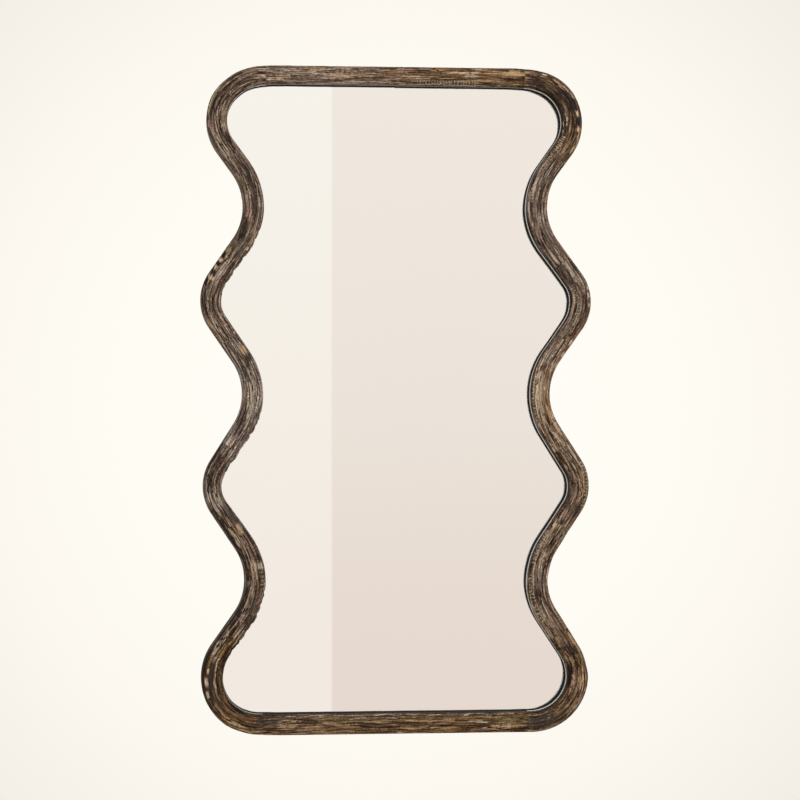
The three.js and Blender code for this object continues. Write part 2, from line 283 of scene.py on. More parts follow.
def painted(s, colour, height, broken):
    """Bare wood, stains and painted highlights over the grain's colour, broken up by the grain."""
    paint = s.node("Attribute", attribute_name="paint").outputs
    lightness = s.spread(height, 0.3, 0.75, 0.62, 1.22)
    scaled = s.node("VectorMath", {0: paint["Color"], "Scale": lightness}, operation="SCALE")
    share = s.spread(s.math("ADD", paint["Alpha"], s.math("MULTIPLY", broken, 0.9)), 0.26, 0.62)
    share = s.math("MULTIPLY", share, s.math("GREATER_THAN", paint["Alpha"], 0.02))
    return s.blend(share, colour, scaled.outputs[0])


def inner_wall_colour(s, wall_share):
    """The wall down to the mirror: a near-black strip of painted shade at its very top, a pale line of
    painted reflection along its top, then black.
    """
    # painted reflection: the pale line stands in for the room's brightness on a wall that is matt; the
    # near-black beside it is painted shade
    pale = s.blend(s.attribute("painted_lip_reflection"), (20, 18, 16), (224, 222, 216))
    colour = s.blend(s.spread(wall_share, 0.03, 0.08), (14, 11, 9), pale)
    return s.blend(s.spread(wall_share, 0.33, 0.42), colour, (5, 5, 5))


def wood_material():
    """Brushed and waxed wood: its grain follows the moulding, through the fields that the meshes carry."""
    s = Shader(bpy.data.materials.new("brushed_wood"))
    grain = s.attribute("grain", "Vector")
    wall_share = s.attribute("wall_share")

    fibres = s.noise(s.stretched(grain, (38, 620, 1)), detail=3, roughness=0.7)
    hairs = s.noise(s.stretched(grain, (110, 1500, 1)), detail=2)
    ticks = s.noise(s.stretched(grain, (330, 420, 1)), detail=2, roughness=0.7)
    clouds = s.noise(s.stretched(grain, (14, 80, 1)), detail=2)

    height = s.math("MULTIPLY", s.attribute("relief"), 0.74)
    for part, share in ((fibres, 0.72), (hairs, 0.40), (ticks, 0.62)):
        height = s.math("ADD", height, s.math("MULTIPLY", s.math("SUBTRACT", part, 0.5), share))
    height = s.math("ADD", height, 0.14)

    colour = s.ramp(height, [
        (0.20, (24, 13, 6)),
        (0.36, (57, 40, 28)),
        (0.50, (94, 77, 64)),
        (0.62, (122, 105, 91)),
        (0.74, (157, 140, 124)),
        (0.88, (196, 180, 162)),
    ])
    cool = s.spread(clouds, 0.50, 0.68, 0.0, 0.55)
    colour = s.blend(cool, colour, (235, 222, 228), "MULTIPLY")
    # the tone field: each piece's lightness and warmth, with painted shade and highlights along the dome's
    # shoulders
    colour = s.blend(1.0, colour, s.attribute("tone", "Color"), "MULTIPLY")
    colour = painted(s, colour, height, s.math("SUBTRACT", s.math("ADD", fibres, ticks), 1.0))
    smooth_part = s.math("MULTIPLY", s.attribute("smooth_part"), 0.85)
    colour = s.blend(smooth_part, colour, (44, 36, 31))
    on_wall = s.spread(wall_share, 0.0, 0.03)
    colour = s.blend(on_wall, colour, inner_wall_colour(s, wall_share))

    roughness = s.math("MAXIMUM", s.spread(height, 0.2, 0.8, 0.78, 0.50), s.math("MULTIPLY", on_wall, 0.97))
    bumps = s.math("ADD", s.math("MULTIPLY", fibres, 0.6), s.math("MULTIPLY", ticks, 0.4))
    strength = s.math("SUBTRACT", 0.75, s.math("MULTIPLY", on_wall, 0.55))
    return s.surface(colour, roughness, bumps, strength, 0.35 * MM, **{"Specular IOR Level": 0.15})


def mirror_material():
    """Silvered glass, with the faintest unevenness of a float sheet."""
    s = Shader(bpy.data.materials.new("mirror"))
    cloud = s.noise(s.place(), 3.0, detail=1)
    tint = s.blend(cloud, (249, 249, 249), (250, 250, 249))
    return s.surface(tint, s.spread(cloud, 0.3, 0.7, 0.0, 0.004), Metallic=1.0)


def hardboard_material():
    """Brown pressed board: short matted fibres and a few darker flecks."""
    s = Shader(bpy.data.materials.new("hardboard"))
    place = s.place()
    fibres = s.noise(place, 900.0, detail=4, roughness=0.7, distortion=1.2)
    clouds = s.noise(place, 14.0, detail=3)
    flecks = s.noise(s.stretched(place, (1.0, 1.0, 0.45)), 420.0, detail=1)
    colour = s.ramp(fibres, [
        (0.30, (84, 54, 33)),
        (0.50, (112, 76, 49)),
        (0.72, (141, 102, 70)),
    ])
    colour = s.blend(s.spread(clouds, 0.35, 0.7, 0.0, 0.5), colour, (226, 208, 190), "MULTIPLY")
    colour = s.blend(s.spread(flecks, 0.68, 0.74), colour, (60, 38, 24))
    return s.surface(colour, s.spread(fibres, 0.3, 0.7, 0.9, 0.68), fibres, 0.5, 0.2 * MM)


def beech_material():
    """Plain beech: pale, with short dark rays."""
    s = Shader(bpy.data.materials.new("tenon_beech"))
    place = s.place()
    rays = s.noise(s.stretched(place, (900, 900, 260)), detail=2)
    clouds = s.noise(place, 60.0, detail=3)
    colour = s.ramp(clouds, [(0.35, (190, 152, 108)), (0.65, (211, 178, 137))])
    colour = s.blend(s.spread(rays, 0.62, 0.7, 0.0, 0.7), colour, (150, 110, 72))
    return s.surface(colour, s.spread(clouds, 0.3, 0.7, 0.82, 0.7), rays, 0.3, 0.1 * MM)


def zinc_material(name, brightness, roughness):
    """Zinc plate: faint crystal clouds and fine scratches."""
    s = Shader(bpy.data.materials.new(name))
    place = s.place()
    clouds = s.noise(place, 500.0, detail=2)
    scratches = s.noise(s.stretched(place, (1600, 1600, 9000)), detail=2)
    bright = linear(brightness, brightness + 1, brightness + 4)
    dull = (*(0.72 * part for part in bright[:3]), 1)
    colour = s.blend(s.spread(clouds, 0.35, 0.65), dull, bright)
    shine = s.spread(scratches, 0.35, 0.7, roughness, roughness + 0.2)
    return s.surface(colour, shine, scratches, 0.25, 0.03 * MM, Metallic=1.0)


def rubber_material():
    """Matt black moulded rubber with a dusty bloom."""
    s = Shader(bpy.data.materials.new("rubber"))
    bloom = s.noise(s.place(), 700.0, detail=3)
    colour = s.blend(s.spread(bloom, 0.4, 0.7), (38, 38, 39), (58, 57, 56))
    return s.surface(colour, s.spread(bloom, 0.3, 0.7, 0.95, 0.8), bloom, 0.3, 0.05 * MM)


MATERIALS = {
    "wood": wood_material(),
    "mirror": mirror_material(),
    "hardboard": hardboard_material(),
    "beech": beech_material(),
    "screw_steel": zinc_material("screw_steel", 186, 0.22),
    "hanger_steel": zinc_material("hanger_steel", 178, 0.34),
    "rubber": rubber_material(),
}


# ------------------------ meshes and geometry

def unit(vectors):
    """Directions of vectors, which run along the last axis."""
    return vectors / np.linalg.norm(vectors, axis=-1, keepdims=True)


def arc(first, last, steps):
    """Angles from first to last in even steps, both ends included."""
    return [first + (last - first) * k / steps for k in range(steps + 1)]


def mesh_object(name, points, faces, material):
    """An object of these points and faces, in the scene."""
    mesh = bpy.data.meshes.new(name)
    mesh.from_pydata(points, [], faces)
    mesh.validate()
    mesh.materials.append(material)
    made = bpy.data.objects.new(name, mesh)
    bpy.context.scene.collection.objects.link(made)
    return made


def stand_in_for(piece, node):
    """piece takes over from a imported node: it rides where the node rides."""
    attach(piece, body_of(frame["nodes"][node])[0])
    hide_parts(node)


# ------------------------ the line that the moulding follows

class Side:
    """The line down one side, from the middle of the top rail to the middle of the bottom rail."""

    def __init__(self, sign):
        self.sign = sign
        height = rail_line
        corners = [(0.0, rail_line)]
        radii = []
        for _, left_reach, right_reach, drop, radius in BENDS:
            height -= drop
            corners.append((sign * (left_reach if sign < 0 else right_reach), height))
            radii.append(radius)
        corners.append((0.0, -rail_line))
        corners = np.array(corners)
        self.runs = []
        self.bend_spans = []
        place = corners[0]
        distance = 0.0
        for k, radius in enumerate(radii):
            into = unit(corners[k + 1] - corners[k])
            out_of = unit(corners[k + 2] - corners[k + 1])
            turn = atan2(into[0] * out_of[1] - into[1] * out_of[0], float(into @ out_of))
            tangent = radius * tan(abs(turn) / 2)
            start = corners[k + 1] - into * tangent
            straight = float(np.linalg.norm(start - place))
            self.runs.append((distance, place, into, 0.0))
            distance += straight
            self.runs.append((distance, start, into, copysign(1 / radius, turn)))
            curve = radius * abs(turn)
            self.bend_spans.append((distance, distance + curve))
            distance += curve
            place = corners[k + 1] + out_of * tangent
        last = corners[-1] - place
        self.runs.append((distance, place, unit(last), 0.0))
        self.length = distance + float(np.linalg.norm(last))
        spans = self.bend_spans
        halfway = [(spans[k][1] + spans[k + 1][0]) / 2 for k in range(len(spans) - 1)]
        self.joints = [spans[0][0] - rail_joint_setback, *halfway, spans[-1][1] + rail_joint_setback]

    def at(self, distances):
        """Points on the line, and the way to the mirror there, for an array of distances."""
        distances = np.asarray(distances, float)
        points = np.zeros((len(distances), 2))
        along = np.zeros((len(distances), 2))
        starts = np.array([run[0] for run in self.runs])
        which = np.clip(np.searchsorted(starts, distances, side="right") - 1, 0, len(self.runs) - 1)
        for k, (begin, origin, heading, curvature) in enumerate(self.runs):
            chosen = which == k
            gone = (distances[chosen] - begin)[:, None]
            if curvature == 0:
                points[chosen] = origin + gone * heading
                along[chosen] = heading
                continue
            normal = np.array([-heading[1], heading[0]])
            angle = gone * curvature
            points[chosen] = origin + (np.sin(angle) * heading + (1 - np.cos(angle)) * normal) / curvature
            along[chosen] = np.cos(angle) * heading + np.sin(angle) * normal
        to_mirror = np.stack([along[:, 1], -along[:, 0]], 1) * self.sign
        return points, to_mirror


SIDES = {"left": Side(-1), "right": Side(1)}


# ------------------------ noise

def hashed(column, row, seed):
    """A chance number from 0 to 1 for each cell, the same on each run."""
    mixed = column.astype(np.int64) * 374761393 + row.astype(np.int64) * 668265263 + seed * 974634777
    mixed = mixed & 0xFFFFFFFF
    mixed = ((mixed ^ (mixed >> 13)) * 1274126177) & 0xFFFFFFFF
    return ((mixed ^ (mixed >> 16)) & 0xFFFF) / 65535.0


def noise(x, y, seed):
    """Smooth gradient noise, from about -1 to 1."""
    column, row = np.floor(x), np.floor(y)
    fx, fy = x - column, y - row
    ease_x = fx * fx * fx * (fx * (fx * 6 - 15) + 10)
    ease_y = fy * fy * fy * (fy * (fy * 6 - 15) + 10)

    def corner(dx, dy):
        angle = hashed(column + dx, row + dy, seed) * 2 * pi
        return np.cos(angle) * (fx - dx) + np.sin(angle) * (fy - dy)

    upper = corner(0, 0) * (1 - ease_x) + corner(1, 0) * ease_x
    lower = corner(0, 1) * (1 - ease_x) + corner(1, 1) * ease_x
    return (upper * (1 - ease_y) + lower * ease_y) * 1.5


def noise_over(along, across, seed):
    """A function for noise over two fields of places. It takes how long and how wide the noise's features
    are, what sets it apart from other noise, and how many layers it has, each finer and fainter."""
    finer_along, finer_across, fainter = 1.9, 1.8, 0.55

    def layered(length, width, apart, layers=1):
        total, weight = 0.0, 0.0
        for k in range(layers):
            strength = fainter ** k
            x, y = along / length * finer_along ** k, across / width * finer_across ** k
            total = total + strength * noise(x, y, seed + apart + 17 * k)
            weight += strength
        return total / weight

    return layered


def eased(value, low, high):
    """0 up to low, 1 from high on, and a soft step between them."""
    share = np.clip((value - low) / (high - low), 0, 1)
    return share * share * (3 - 2 * share)


def band(value, low, high, soft):
    """1 between low and high, with a soft step to 0 at either end."""
    return eased(value, low - soft, low + soft) * (1 - eased(value, high - soft, high + soft))


# ------------------------ wear, stains, bare patches, and painted shade, highlights and reflection

# what a mark is: its colour, how fully it covers, and in mm how much deeper it lies and its dashes' spacing
KINDS = {
    "tan": ((178, 146, 112), 0.75, 0.15, 0),
    "chip": ((205, 174, 146), 1.00, 0.35, 0),
    "pink": ((172, 138, 121), 0.70, 0.10, 0),
    "amber": ((130, 98, 64), 0.62, 0.10, 0),
    "rust": ((104, 70, 50), 0.52, 0.10, 0),
    "olive": ((128, 112, 76), 0.62, 0.05, 0),
    "yellow": ((168, 150, 104), 0.70, 0.10, 0),
    "grey": ((112, 101, 91), 0.62, 0.0, 0),
    "mauve": ((86, 71, 65), 0.66, 0.0, 0),
    "slate": ((63, 55, 49), 0.70, 0.05, 0),
    "dark": ((44, 31, 24), 0.85, 0.20, 0),
    "black": ((27, 20, 16), 1.00, 0.30, 0),
    # light: pale streaks, and painted highlights along the rails' inner edges
    "light": ((171, 158, 139), 0.80, 0.0, 0),
    "dashes": ((170, 150, 126), 0.95, 0.35, 5.2),
    "nicks": ((46, 34, 28), 0.82, 0.50, 6.5),
}

# marks listed down each side: along from and to, across from and to, in mm, and the kind
MARKS = {
    "left": [
        # the light marks along 0 to 200 at 16.3 to 17.9 and along 1640 to 1860 at 15.8 to 17 are painted
        # highlights along the rails' inner edges
        (0, 200, 16.3, 17.9, "light"), (0, 36, -12, -5, "amber"), (40, 120, -4, 3, "tan"),
        (126, 165, -15, -9, "tan"), (165, 200, -2, 1, "light"), (192, 218, 1, 7, "pink"),
        (205, 232, 5, 12, "chip"), (270, 300, -13, -8, "dark"), (312, 360, -17.5, -13, "yellow"),
        (325, 372, -13, -9, "dark"), (352, 382, 10, 16, "olive"), (372, 384, -17.5, -12, "pink"),
        (384, 440, -12, -9, "light"), (392, 450, -7, -5, "light"), (400, 440, 4, 12, "dark"),
        (462, 540, 1, 6, "slate"), (478, 520, -14, -10, "olive"), (520, 548, 2, 8, "mauve"),
        (545, 568, -11, -2, "pink"), (560, 610, -13, -6, "dark"), (578, 606, 10, 16, "tan"),
        (590, 640, 2, 10, "slate"), (610, 616, 13, 17, "chip"), (628, 655, -17, -6, "olive"),
        (630, 641, -14, -8, "yellow"), (640, 651, -17, -10, "black"), (642, 649, -11, -8, "chip"),
        (654, 660, -17, -10, "chip"), (660, 668, -18, -9, "black"), (669, 675, -17, -11, "chip"),
        (655, 690, -6, -3, "light"), (676, 688, -18, -7, "black"), (689, 694, -17.5, -4, "chip"),
        (695, 706, -18, -13, "black"), (715, 770, -12, -9, "dark"), (722, 790, -8, -4, "light"),
        (745, 800, -17, -14, "tan"), (830, 845, 5, 15, "tan"), (844, 858, 4, 16, "slate"),
        (870, 960, -3, 3, "light"), (898, 944, -17, -11, "amber"), (960, 1000, 4, 12, "mauve"),
        (1018, 1062, -17, -10, "rust"), (1040, 1110, -12, -7, "dark"), (1078, 1086, -17, -8, "nicks"),
        (1092, 1140, 0, 6, "light"), (1120, 1200, -14, -8, "dark"), (1136, 1182, 5, 16, "mauve"),
        (1150, 1176, 10, 17, "slate"), (1180, 1203, 2, 12, "tan"), (1183, 1199, -8, -4, "yellow"),
        (1200, 1290, -15, -9, "dark"), (1222, 1300, 9, 16.5, "nicks"), (1248, 1272, -5, 1, "tan"),
        (1256, 1266, 8, 17, "light"), (1300, 1380, -16, -10, "dark"), (1320, 1345, 2, 8, "slate"),
        (1388, 1402, -11, -6, "light"), (1408, 1440, -13, -6, "light"), (1440, 1451, -4, 1, "pink"),
        (1450, 1530, -18, -12, "dark"), (1464, 1472, -9, -4.5, "chip"), (1472, 1500, -11, -6.5, "rust"),
        (1480, 1492, -11.5, -6, "chip"), (1501, 1512, -12.5, -8, "chip"), (1440, 1520, 4, 7, "light"),
        (1445, 1540, -6, 2, "slate"), (1500, 1602, 2, 14, "rust"), (1520, 1585, -8, -3, "tan"),
        (1578, 1606, -17, -12, "tan"), (1608, 1652, -4, 12, "slate"), (1640, 1860, 15.8, 17, "light"),
        (1648, 1684, -5, 2, "tan"), (1700, 1790, -9, -5, "amber"), (1720, 1850, 4, 8, "olive"),
    ],
    "right": [
        # the light marks along 0 to 190 at 16.3 to 17.9 and along 1630 to 1860 at 15.8 to 17 are painted
        # highlights along the rails' inner edges
        (0, 190, 16.3, 17.9, "light"), (0, 66, -16, -12, "pink"), (34, 146, 7, 16, "dashes"),
        (40, 90, -3, 1, "slate"), (66, 100, -17, -12, "amber"), (88, 150, -9, -6, "chip"),
        (150, 196, -6, 2, "amber"), (192, 236, -10, -3, "tan"), (206, 224, -15, -4, "tan"),
        (236, 275, 2, 14, "dark"), (262, 269, -14, -10, "chip"), (284, 322, -12, -9.5, "chip"),
        (296, 350, -17, -11.5, "rust"), (330, 346, -12, -7, "dark"), (300, 345, -8, 4, "dark"),
        (340, 372, 9, 11, "light"), (347, 355, -12, -7.5, "chip"), (356, 371, -12, -5, "black"),
        (372, 379, -12, -8, "chip"), (373, 416, -17, -12, "tan"), (393, 476, 8, 15, "dashes"),
        (480, 500, -4, 8, "grey"), (494, 526, 9, 15, "dashes"), (498, 546, -17, -13, "tan"),
        (520, 560, 2, 10, "grey"), (558, 622, -17, -13, "pink"), (566, 630, -13, 1, "grey"),
        (600, 645, -16, -8, "rust"), (640, 700, 3, 13, "slate"), (652, 690, -6, 2, "light"),
        (690, 730, 8, 15, "dashes"), (744, 852, -17, -8, "rust"), (704, 710, -17, -14, "chip"),
        (714, 721, -15, -12, "chip"), (730, 735, -16, -13, "chip"), (740, 775, 1, 6, "dashes"),
        (764, 862, 2, 11, "grey"), (798, 808, -16, -12, "chip"), (824, 833, -17, -13, "chip"),
        (860, 873, 0, 10, "slate"), (874, 884, 2, 9, "pink"), (887, 899, 6, 13, "slate"),
        (868, 962, -14, 2, "amber"), (880, 950, -3, 2, "light"), (886, 962, 8, 16, "dashes"),
        (900, 940, 3, 7, "tan"), (938, 1000, -12, -5, "tan"), (1058, 1136, -17, -10, "dashes"),
        (1070, 1120, -9, -3, "tan"), (1132, 1152, -12, 14, "slate"), (1178, 1190, 8, 14, "chip"),
        (1203, 1262, 8, 16, "dashes"), (1270, 1310, -4, 6, "grey"), (1283, 1362, 8, 16, "dashes"),
        (1296, 1350, 10, 14, "nicks"), (1320, 1420, -2, 1, "light"), (1356, 1422, -12, 4, "rust"),
        (1417, 1442, -8, 10, "dark"), (1400, 1440, -16, -11, "tan"), (1458, 1500, -10, -6, "tan"),
        (1478, 1516, 7, 11, "pink"), (1498, 1536, -15, -10, "pink"), (1568, 1622, -12, 10, "slate"),
        (1618, 1682, 0, 10, "olive"), (1630, 1860, 15.8, 17, "light"), (1640, 1690, -9, -4, "tan"),
        (1700, 1800, -14, -10, "amber"), (1750, 1840, 3, 7, "tan"),
    ],
}

# marks below this length, in mm, are whole, while longer ones are broken up
short_mark = 17
deepest_mark = 0.8 * MM

# small chance marks under the listed ones: how many, their kinds by turns, and where they start along and
# across the moulding, in mm
chance_marks = 420
CHANCE_KINDS = ["dark", "light", "tan", "dark", "rust", "light", "nicks", "mauve"]
chance_along = (0, 1850)
chance_across = (-17, 14)


def marks_down_sides():
    """All marks down each side: the chance ones first, then the listed ones."""
    rng = random.Random(11)
    found = {"left": [], "right": []}
    for k in range(chance_marks):
        kind = CHANCE_KINDS[k % len(CHANCE_KINDS)]
        side = rng.choice(["left", "right"])
        start = rng.uniform(*chance_along)
        across = rng.uniform(*chance_across)
        length = rng.uniform(4, 9) if kind == "nicks" else rng.uniform(8, 34)
        width = rng.uniform(2, 5) if kind == "nicks" else rng.uniform(1.0, 2.6)
        found[side].append((start, start + length, across, across + width, kind))
    return {side: found[side] + MARKS[side] for side in found}


ALL_MARKS = marks_down_sides()


def mark_cover(mark, along, across, seed, ragged_ends, wander, breaks):
    """How fully a mark covers each point. Its ends are ragged and its edges wander."""
    start, end, low, high, kind = mark
    _, strength, _, spacing = KINDS[kind]
    soft_end, soft_edge = min(3.5, 0.25 * (end - start)), 0.9
    ragged = (0.35 if soft_end < 3 else 1.0) * ragged_ends
    cover = strength * band(along + ragged, start, end, soft_end)
    cover = cover * band(across + wander, low, high, soft_edge)
    if spacing:
        comb = np.sin(2 * pi * along / spacing + 3.0 * noise(along / 9, across / 3.0, seed + 9))
        return cover * eased(comb + 0.5 * noise(along / 3, across / 2.2, seed + 11), 0.0, 0.6)
    if end - start < short_mark:
        return cover * eased(breaks, -0.95, -0.35)
    return cover * eased(breaks, -0.42, 0.12)


def paint_marks(sign, distance, u, seed):
    """Lays the marks on a piece. Returns colour and cover for each point, and the depth in metres."""
    colour = np.zeros((*u.shape, 3))
    cover = np.zeros(u.shape)
    depth = np.zeros(u.shape)
    along, across = distance / MM, u / MM
    ragged = 10
    first, last = along.min() - ragged, along.max() + ragged
    ragged_ends = 7 * noise(across / 1.7, along / 60, seed + 3)
    wander = 1.1 * noise(along / 16, across / 30, seed + 5)
    breaks = noise_over(along, across, seed)(14, 1.5, 7, 2)
    for side, marks in ALL_MARKS.items():
        on_side = sign == SIDES[side].sign
        for mark in marks:
            if not on_side.any() or mark[1] < first or mark[0] > last:
                continue
            hue, _, sink, _ = KINDS[mark[-1]]
            hue = np.array(linear(*hue)[:3])
            here = on_side * mark_cover(mark, along, across, seed, ragged_ends, wander, breaks)
            cover = here + cover * (1 - here)
            share = np.where(cover > 1e-6, here / np.maximum(cover, 1e-6), 0)[..., None]
            colour = colour * (1 - share) + hue * share
            depth = depth + here * sink * MM
    return colour, cover, np.minimum(depth, deepest_mark)


# lightness, warmth and contrast of each wooden piece, clockwise from the top rail
TONES = {
    "top_rail": (1.14, 0.60, 0.84),
    "right_corner_top": (0.50, 1.00, 0.88),
    "right_hollow_upper": (1.14, -0.05, 0.84),
    "right_crest_upper": (1.00, 0.15, 0.87),
    "right_hollow_middle": (1.42, 0.25, 1.00),
    "right_crest_lower": (0.92, 0.50, 0.95),
    "right_hollow_lower": (1.14, 0.20, 1.00),
    "right_corner_bottom": (0.70, 1.00, 1.00),
    "bottom_rail": (0.80, 1.15, 0.93),
    "left_corner_bottom": (0.49, 1.55, 1.08),
    "left_hollow_lower": (0.94, 0.15, 1.04),
    "left_crest_lower": (0.90, 0.00, 1.15),
    "left_hollow_middle": (1.50, -0.50, 0.94),
    "left_crest_upper": (1.14, 0.05, 0.96),
    "left_hollow_upper": (0.95, 0.05, 0.90),
    "left_corner_top": (1.12, 0.10, 0.91),
}
warm_tint = np.array([1.14, 0.96, 0.68])

# how the three change from a rail's left half to its right half
LEANS = {"top_rail": (-0.46, 1.10, 0.0), "bottom_rail": (-0.16, 0.45, 0.0)}

# how far from a joint a piece's tone starts to turn into its neighbour's
tone_reach = 0.022

# how bright the painted reflection along the top of the inner wall is, where it isn't fully bright
PAINTED_LIP_REFLECTIONS = {"top_rail": 0.40, "bottom_rail": 0.05, "left_corner_bottom": 0.6}

# how dark the painted shade on the dome's inner and outer shoulders is, by places in mm down each side;
# below 0 is paler, a painted highlight
INNER_SHADE = {
    "left": {
        0: 0.2, 200: 0.2, 270: 0.1, 330: 0.0, 1110: 0.0, 1150: 0.5, 1205: 0.5, 1245: 0.0, 1395: 0.1,
        1440: 0.5, 1545: 0.8, 1600: 0.7, 1640: 0.3, 1860: 0.3,
    },
    "right": {
        0: 0.3, 190: 0.35, 240: 0.6, 300: 0.8, 345: 0.9, 385: 0.4, 450: 0.3, 490: 0.5, 600: 0.45,
        640: 0.5, 680: 0.8, 720: 0.7, 780: 0.45, 980: 0.45, 1060: 0.7, 1120: 0.8, 1170: 0.5, 1320: 0.4,
        1370: 0.2, 1420: 0.6, 1480: 0.7, 1540: 0.7, 1600: 0.6, 1650: 0.3, 1860: 0.3,
    },
}
OUTER_SHADE = {
    "left": {
        980: 0, 1020: 0.25, 1100: 0.3, 1140: 0.5, 1200: 0.4, 1300: 0.5, 1360: 0.6, 1470: 0.6, 1520: 0.35,
        1600: 0, 1640: -0.25,
    },
    "right": {
        480: 0, 500: -0.25, 600: -0.25, 640: 0, 860: 0, 880: -0.25, 960: -0.25, 1000: 0, 1400: 0,
        1430: -0.3, 1470: -0.3, 1500: 0, 1600: 0, 1640: -0.25,
    },
}

# how far in mm the inner edge stands back and the outer edge stands in, by places in mm down each side;
# below 0 they stand out, but the outer edge no further than the plain moulding's outer face
INNER_TRIM = {
    "left": {
        0: 3.0, 196: 2.9, 225: 2.4, 250: -0.6, 300: -2.0, 345: -0.6, 400: 0, 500: -0.4, 550: -1.4,
        600: -0.3, 660: -0.4, 705: -1.6, 745: 0, 850: 0.6, 900: -0.6, 960: -1.6, 1020: -0.3, 1060: 1.6,
        1100: 3.4, 1140: 2.2, 1185: 0, 1260: -1.2, 1340: -1.9, 1390: -1.9, 1425: -0.7, 1465: -2.4,
        1510: -2.0, 1545: -1.0, 1590: -1.4, 1650: 0.3,
    },
    "right": {
        0: 2.3, 200: 2.2, 230: 1.0, 262: -2.4, 300: -3.0, 345: -3.0, 380: -2.5, 420: -1.8, 460: -1.0,
        500: -2.4, 540: -3.9, 580: -3.6, 620: -2.6, 660: -2.0, 740: -2.8, 780: 0.0, 820: 0.5, 880: -0.1,
        940: -0.8, 980: -2.2, 1060: -3.2, 1100: -3.2, 1140: -1.6, 1180: -1.1, 1265: -1.6, 1300: -3.3,
        1380: -3.4, 1460: -3.6, 1500: -3.0, 1540: -2.8, 1580: -2.0, 1620: -0.3, 1650: 0.3,
    },
}
OUTER_TRIM = {
    "left": {
        225: 0, 262: 2.4, 300: 2.2, 335: 0, 1560: 0, 1588: 1.2, 1620: 0, 1650: -2.0,
    },
    "right": {
        215: 0, 258: 2.6, 290: 0.4, 320: -0.6, 340: 0, 1180: 0, 1215: -1.6, 1265: -2.0, 1290: 0, 1370: 0,
        1430: 1.6, 1465: 1.3, 1490: -2.0,
    },
}

# the distance from the middle of the moulding at which the edges' shifts set in
trim_from = 4.0 * MM

# how square the inner shoulder is, by places in mm down each side
SQUARENESS = {"left": {0: 0}, "right": {215: 0, 275: 1, 1560: 1, 1630: 0}}

# where the left side's inner edge is gouged: down from each hollow to the next crest, along in mm
GOUGED = [(570, 715), (938, 1072), (1295, 1436)]
gouge_depth = 3.0 * MM
gouge_edge = (0.010, 0.0165)

# how deep the furrows, the flats between the dome's hills, and the nibbles are
furrow_depth = 0.75 * MM
flat_depth = 0.30 * MM
nibble_depth = 0.35 * MM

# between which distances from the middle of the moulding the shoulders' painted shades set in
inner_shoulder = (0.0125, 0.0165)
outer_shoulder = (0.0105, 0.0150)


# ------------------------ wooden pieces

def section(inner_power):
    """The moulding's outline, its inner shoulder squarer with a higher power. Each point has u, v,
    how far wear may cut into it, how much it is smooth back, and whether it may belong to the inner wall."""
    rows = []
    for k in range(dome_steps + 1):
        angle = pi * (1 - k / dome_steps)
        cosine, sine = cos(angle), sin(angle)
        power = dome_power if cosine < 0 else inner_power
        reach = copysign(abs(cosine) ** (2 / power), cosine)
        rise = abs(sine) ** (2 / power)
        drop = outer_dome_drop if angle > pi / 2 else inner_dome_drop
        rows.append((half_width * reach, drop * (1 - rise), 1.0, 0.0, float(cosine > 0)))
    wall_steps = 24
    for k in range(1, wall_steps + 1):
        v = inner_dome_drop + sight_wall * k / wall_steps
        rows.append((half_width, v, 1.0 if k < 4 else 0.0, 0.0, 1.0))
    rows.append((glass_rebate, glass_front, 0.0, 1.0, 0.0))
    rows.append((glass_rebate, ledge_front, 0.0, 1.0, 0.0))
    rows.append((backing_rebate, ledge_front, 0.0, 1.0, 0.0))
    rows.append((backing_rebate, rail_depth, 0.0, 0.9, 0.0))
    back_steps = 8
    for k in range(1, back_steps + 1):
        u = backing_rebate + (-half_width - backing_rebate) * k / back_steps
        rows.append((u, rail_depth, 0.15 if k < back_steps else 0.0, 0.75, 0.0))
    side_steps = 14
    for k in range(1, side_steps):
        v = rail_depth + (outer_dome_drop - rail_depth) * k / side_steps
        rows.append((-half_width, v, 0.8, 0.45 * (1 - k / side_steps), 0.0))
    rows = np.array(rows)
    # evened out round the dome, whose formula crowds points at its ends
    dome = rows[:dome_steps + 1, :2]
    gone = np.concatenate([[0], np.cumsum(np.linalg.norm(np.diff(dome, axis=0), axis=1))])
    even = np.linspace(0, gone[-1], dome_steps + 1)
    rows[:dome_steps + 1, 0] = np.interp(even, gone, dome[:, 0])
    rows[:dome_steps + 1, 1] = np.interp(even, gone, dome[:, 1])
    return rows


SECTION = section(dome_power)
SQUARE_SECTION = section(square_power)


def outward(outline):
    """Unit directions out of a closed outline of (u, v) points."""
    before = np.roll(outline, 1, axis=0)
    after = np.roll(outline, -1, axis=0)
    run = after - before
    return unit(np.stack([run[:, 1], -run[:, 0]], 1))


SECTION_OUT = outward(SECTION[:, :2])
SQUARE_OUT = outward(SQUARE_SECTION[:, :2])
SECTION_RUN = np.concatenate([[0], np.cumsum(np.linalg.norm(np.diff(SECTION[:, :2], axis=0), axis=1))])


def stations_between(start, end):
    """Places along a piece, closer together at its eased ends."""
    ease = [0.0, 0.15 * MM, 0.4 * MM, 0.9 * MM]
    count = max(2, round((end - start) / along_step))
    inner = np.linspace(start + 2 * ease[-1], end - 2 * ease[-1], count)
    near = [start + step for step in ease]
    far = [end - step for step in reversed(ease)]
    return np.array([*near, *inner, *far])


